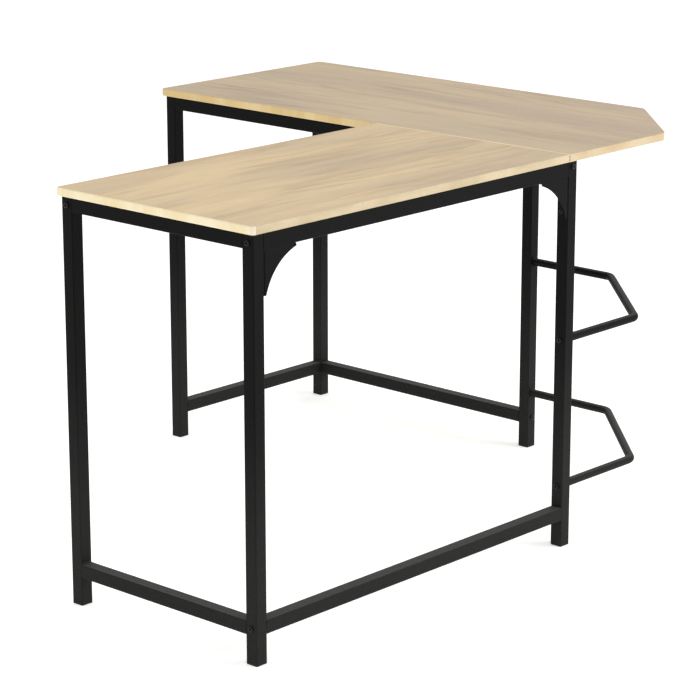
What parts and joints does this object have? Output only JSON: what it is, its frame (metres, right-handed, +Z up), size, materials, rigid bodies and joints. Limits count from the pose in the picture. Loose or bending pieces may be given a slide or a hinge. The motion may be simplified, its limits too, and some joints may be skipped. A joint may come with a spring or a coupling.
{
  "type": "corner desk",
  "caption": "L-shaped corner desk: three wood-grain boards, the corner one with its outer corner cut off, on a bolted black square-tube frame with bent round bars under the corner.",
  "frame": {"origin": "on the floor, under the middle of the bounding box of the boards", "axes": "+X along the long wing from its free end towards the corner, +Y along the short wing from the corner towards its free end, +Z up; the wall sides are -Y and +X"},
  "size_m": [1.3, 1.066, 0.75],
  "materials": {
    "oak_board": "matt light-oak wood-grain film on board, softened edges",
    "black_steel": "satin black powder coat",
    "black_bolt": "black oxide, slightly shiny",
    "black_plastic": "matt moulded black",
    "zinc_steel": "bright zinc plate"
  },
  "bodies": {
    "root": {"bar_bolts": "black_bolt", "bar_end_slugs": "zinc_steel", "board_screws": "zinc_steel", "bracket_bolts": "black_bolt", "corner_board": "oak_board", "frame_bolts": "black_bolt", "gusset_bolts": "black_bolt", "inner_corner_bracket": "black_steel", "leg_top_caps": "black_plastic", "long_knee_bracket": "black_steel", "long_seam_rail": "black_steel", "long_side_corner_foot": "black_plastic", "long_side_corner_leg": "black_steel", "long_wing_board": "oak_board", "long_wing_corner_gusset": "black_steel", "long_wing_end_gusset": "black_steel", "long_wing_end_low_rail": "black_steel", "long_wing_end_top_rail": "black_steel", "long_wing_knee_foot": "black_plastic", "long_wing_knee_leg": "black_steel", "long_wing_knee_rail": "black_steel", "long_wing_wall_foot": "black_plastic", "long_wing_wall_leg": "black_steel", "long_wing_wall_low_rail": "black_steel", "long_wing_wall_top_rail": "black_steel", "lower_corner_bar": "black_steel", "rail_end_nut_plates": "zinc_steel", "short_knee_bracket": "black_steel", "short_seam_rail": "black_steel", "short_side_corner_foot": "black_plastic", "short_side_corner_leg": "black_steel", "short_wing_board": "oak_board", "short_wing_corner_gusset": "black_steel", "short_wing_end_gusset": "black_steel", "short_wing_end_low_rail": "black_steel", "short_wing_end_top_rail": "black_steel", "short_wing_knee_foot": "black_plastic", "short_wing_knee_leg": "black_steel", "short_wing_knee_rail": "black_steel", "short_wing_wall_foot": "black_plastic", "short_wing_wall_leg": "black_steel", "short_wing_wall_low_rail": "black_steel", "short_wing_wall_top_rail": "black_steel", "upper_corner_bar": "black_steel"}
  },
  "joints": []
}
